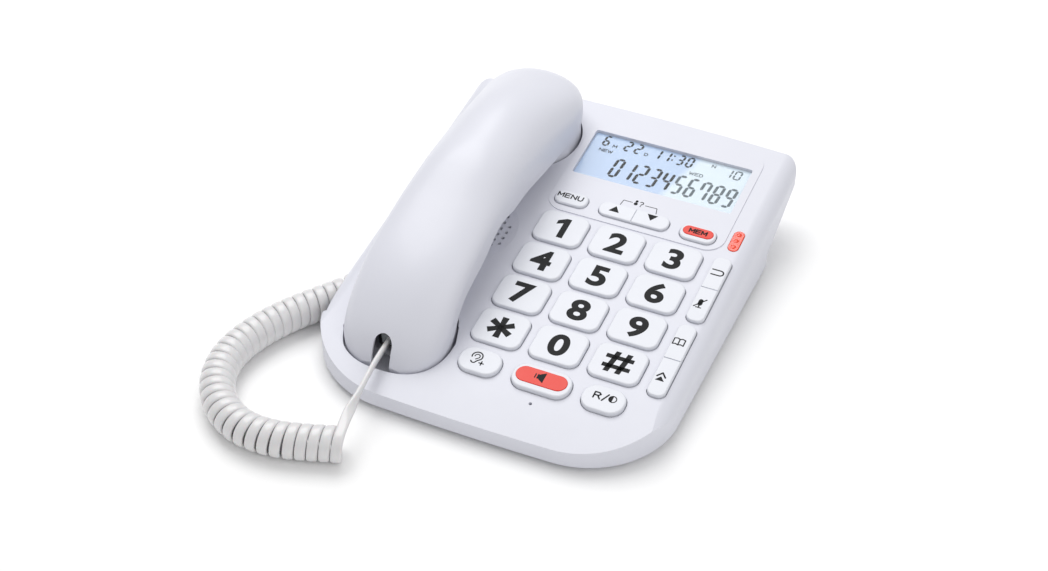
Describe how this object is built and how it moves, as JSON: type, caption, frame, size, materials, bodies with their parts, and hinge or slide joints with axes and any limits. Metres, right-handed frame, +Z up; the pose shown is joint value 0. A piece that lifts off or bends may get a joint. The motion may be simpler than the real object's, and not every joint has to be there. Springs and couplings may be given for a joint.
{
  "type": "corded landline phone",
  "caption": "Corded desk phone with big keys, a tilted display, a handset in two pockets at the left and a curly cord.",
  "frame": {"origin": "centre of the phone's footprint on the table, measured without the cord", "axes": "+X to the right seen from the user, +Y to the rear, +Z up"},
  "size_m": [0.212, 0.2637, 0.0739],
  "materials": {
    "white_shell": "satin fine-textured moulded ABS, cool white",
    "white_keys": "satin moulded plastic, cool white",
    "rubber": "matt silicone or foot rubber",
    "screw_steel": "zinc-plated steel",
    "battery_wrap": "printed plastic sleeve",
    "window_glass": "clear glossy window",
    "lcd_panel": "pale blue reflective liquid-crystal panel",
    "light_guide": "frosted light guide",
    "circuit_board": "green solder mask",
    "lamp_lens": "translucent orange",
    "speaker_black": "black moulded plastic",
    "red_caps": "satin red-orange",
    "cord_vinyl": "soft glossy white vinyl",
    "clear_plug": "clear polycarbonate"
  },
  "bodies": {
    "base": {"base_top_shell": "white_shell", "base_bottom_shell": "white_shell", "rubber_feet": "rubber", "base_screws": "screw_steel", "battery_door": "white_shell", "battery_door_screw": "screw_steel", "batteries": "battery_wrap", "battery_contacts": "screw_steel", "display_window": "window_glass", "lcd_module": "lcd_panel", "lcd_backlight": "light_guide", "main_pcb": "circuit_board", "keypad_mat": "rubber", "call_lamp_lens": "lamp_lens", "loudspeaker": "speaker_black", "handsfree_microphone": "speaker_black", "hook_switch": "speaker_black", "ringer_switch_body": "speaker_black", "line_jack": "speaker_black", "base_handset_jack": "speaker_black", "cord_plug_base": "clear_plug", "cord_tail": "cord_vinyl", "cord_coil": "cord_vinyl", "cord_lead": "cord_vinyl"},
    "handset": {"handset_outer_shell": "white_shell", "handset_inner_shell": "white_shell", "handset_screws": "screw_steel", "earpiece": "speaker_black", "handset_microphone": "speaker_black", "handset_ballast": "screw_steel", "handset_jack": "speaker_black", "cord_plug_handset": "clear_plug"},
    "hook_plunger": {"hook_plunger": "white_shell"},
    "ringer_switch": {"ringer_switch": "speaker_black"},
    "key_1": {"key_1": "white_keys"},
    "key_2": {"key_2": "white_keys"},
    "key_3": {"key_3": "white_keys"},
    "key_4": {"key_4": "white_keys"},
    "key_5": {"key_5": "white_keys"},
    "key_6": {"key_6": "white_keys"},
    "key_7": {"key_7": "white_keys"},
    "key_8": {"key_8": "white_keys"},
    "key_9": {"key_9": "white_keys"},
    "key_star": {"key_star": "white_keys"},
    "key_0": {"key_0": "white_keys"},
    "key_hash": {"key_hash": "white_keys"},
    "menu_key": {"menu_key": "white_keys"},
    "memory_key": {"memory_key": "white_keys", "memory_key_cap": "red_caps"},
    "volume_boost_key": {"volume_boost_key": "white_keys"},
    "speaker_key": {"speaker_key": "white_keys", "speaker_key_cap": "red_caps"},
    "recall_key": {"recall_key": "white_keys"},
    "navigation_rocker": {"navigation_rocker": "white_keys"},
    "side_rocker_rear": {"side_rocker_rear": "white_keys"},
    "side_rocker_front": {"side_rocker_front": "white_keys"}
  },
  "joints": [
    {"name": "key_1_press", "type": "slide", "parent": "base", "child": "key_1", "axis": [0, -0.1158, 0.9933], "range_m": [-0.0011, 0], "stiffness_N_per_m": 500, "springref_m": 0.0002, "deforming": ["keypad_mat"]},
    {"name": "key_2_press", "type": "slide", "parent": "base", "child": "key_2", "axis": [0, -0.1158, 0.9933], "range_m": [-0.0011, 0], "stiffness_N_per_m": 500, "springref_m": 0.0002, "deforming": ["keypad_mat"]},
    {"name": "key_3_press", "type": "slide", "parent": "base", "child": "key_3", "axis": [0, -0.1158, 0.9933], "range_m": [-0.0011, 0], "stiffness_N_per_m": 500, "springref_m": 0.0002, "deforming": ["keypad_mat"]},
    {"name": "key_4_press", "type": "slide", "parent": "base", "child": "key_4", "axis": [0, -0.1158, 0.9933], "range_m": [-0.0011, 0], "stiffness_N_per_m": 500, "springref_m": 0.0002, "deforming": ["keypad_mat"]},
    {"name": "key_5_press", "type": "slide", "parent": "base", "child": "key_5", "axis": [0, -0.1158, 0.9933], "range_m": [-0.0011, 0], "stiffness_N_per_m": 500, "springref_m": 0.0002, "deforming": ["keypad_mat"]},
    {"name": "key_6_press", "type": "slide", "parent": "base", "child": "key_6", "axis": [0, -0.1158, 0.9933], "range_m": [-0.0011, 0], "stiffness_N_per_m": 500, "springref_m": 0.0002, "deforming": ["keypad_mat"]},
    {"name": "key_7_press", "type": "slide", "parent": "base", "child": "key_7", "axis": [0, -0.1158, 0.9933], "range_m": [-0.0011, 0], "stiffness_N_per_m": 500, "springref_m": 0.0002, "deforming": ["keypad_mat"]},
    {"name": "key_8_press", "type": "slide", "parent": "base", "child": "key_8", "axis": [0, -0.1158, 0.9933], "range_m": [-0.0011, 0], "stiffness_N_per_m": 500, "springref_m": 0.0002, "deforming": ["keypad_mat"]},
    {"name": "key_9_press", "type": "slide", "parent": "base", "child": "key_9", "axis": [0, -0.1158, 0.9933], "range_m": [-0.0011, 0], "stiffness_N_per_m": 500, "springref_m": 0.0002, "deforming": ["keypad_mat"]},
    {"name": "key_star_press", "type": "slide", "parent": "base", "child": "key_star", "axis": [0, -0.1158, 0.9933], "range_m": [-0.0011, 0], "stiffness_N_per_m": 500, "springref_m": 0.0002, "deforming": ["keypad_mat"]},
    {"name": "key_0_press", "type": "slide", "parent": "base", "child": "key_0", "axis": [0, -0.1158, 0.9933], "range_m": [-0.0011, 0], "stiffness_N_per_m": 500, "springref_m": 0.0002, "deforming": ["keypad_mat"]},
    {"name": "key_hash_press", "type": "slide", "parent": "base", "child": "key_hash", "axis": [0, -0.1158, 0.9933], "range_m": [-0.0011, 0], "stiffness_N_per_m": 500, "springref_m": 0.0002, "deforming": ["keypad_mat"]},
    {"name": "menu_key_press", "type": "slide", "parent": "base", "child": "menu_key", "axis": [0, -0.1158, 0.9933], "range_m": [-0.0011, 0], "stiffness_N_per_m": 500, "springref_m": 0.0002, "deforming": ["keypad_mat"]},
    {"name": "memory_key_press", "type": "slide", "parent": "base", "child": "memory_key", "axis": [0, -0.1158, 0.9933], "range_m": [-0.0011, 0], "stiffness_N_per_m": 500, "springref_m": 0.0002, "deforming": ["keypad_mat"]},
    {"name": "volume_boost_key_press", "type": "slide", "parent": "base", "child": "volume_boost_key", "axis": [0, -0.1158, 0.9933], "range_m": [-0.0011, 0], "stiffness_N_per_m": 500, "springref_m": 0.0002, "deforming": ["keypad_mat"]},
    {"name": "speaker_key_press", "type": "slide", "parent": "base", "child": "speaker_key", "axis": [0, -0.1158, 0.9933], "range_m": [-0.0011, 0], "stiffness_N_per_m": 500, "springref_m": 0.0002, "deforming": ["keypad_mat"]},
    {"name": "recall_key_press", "type": "slide", "parent": "base", "child": "recall_key", "axis": [0, -0.1158, 0.9933], "range_m": [-0.0011, 0], "stiffness_N_per_m": 500, "springref_m": 0.0002, "deforming": ["keypad_mat"]},
    {"name": "navigation_rocker_tilt", "type": "hinge", "parent": "base", "child": "navigation_rocker", "pos_m": [0.027, 0.03628, 0.02704], "axis": [0, 0.9933, 0.1158], "range_deg": [-2.5, 2.5], "stiffness_Nm_per_rad": 0.3, "deforming": ["keypad_mat"]},
    {"name": "side_rocker_rear_tilt", "type": "hinge", "parent": "base", "child": "side_rocker_rear", "pos_m": [0.0776, 0.0042, 0.0233], "axis": [1, 0, 0], "range_deg": [-2, 2], "stiffness_Nm_per_rad": 0.3, "deforming": ["keypad_mat"]},
    {"name": "side_rocker_front_tilt", "type": "hinge", "parent": "base", "child": "side_rocker_front", "pos_m": [0.0772, -0.04248, 0.01786], "axis": [1, 0, 0], "range_deg": [-2, 2], "stiffness_Nm_per_rad": 0.3, "deforming": ["keypad_mat"]},
    {"name": "handset_lift", "type": "slide", "parent": "base", "child": "handset", "axis": [0, -0.1158, 0.9933], "range_m": [0, 0.06]},
    {"name": "hook_plunger_travel", "type": "slide", "parent": "base", "child": "hook_plunger", "axis": [0, -0.1158, 0.9933], "range_m": [0, 0.004]},
    {"name": "ringer_switch_slide", "type": "slide", "parent": "base", "child": "ringer_switch", "axis": [1, 0, 0], "range_m": [-0.003, 0.003]}
  ],
  "couplings": [
    {"joint": "hook_plunger_travel", "follows": "handset_lift", "ratio": 0.0666}
  ]
}
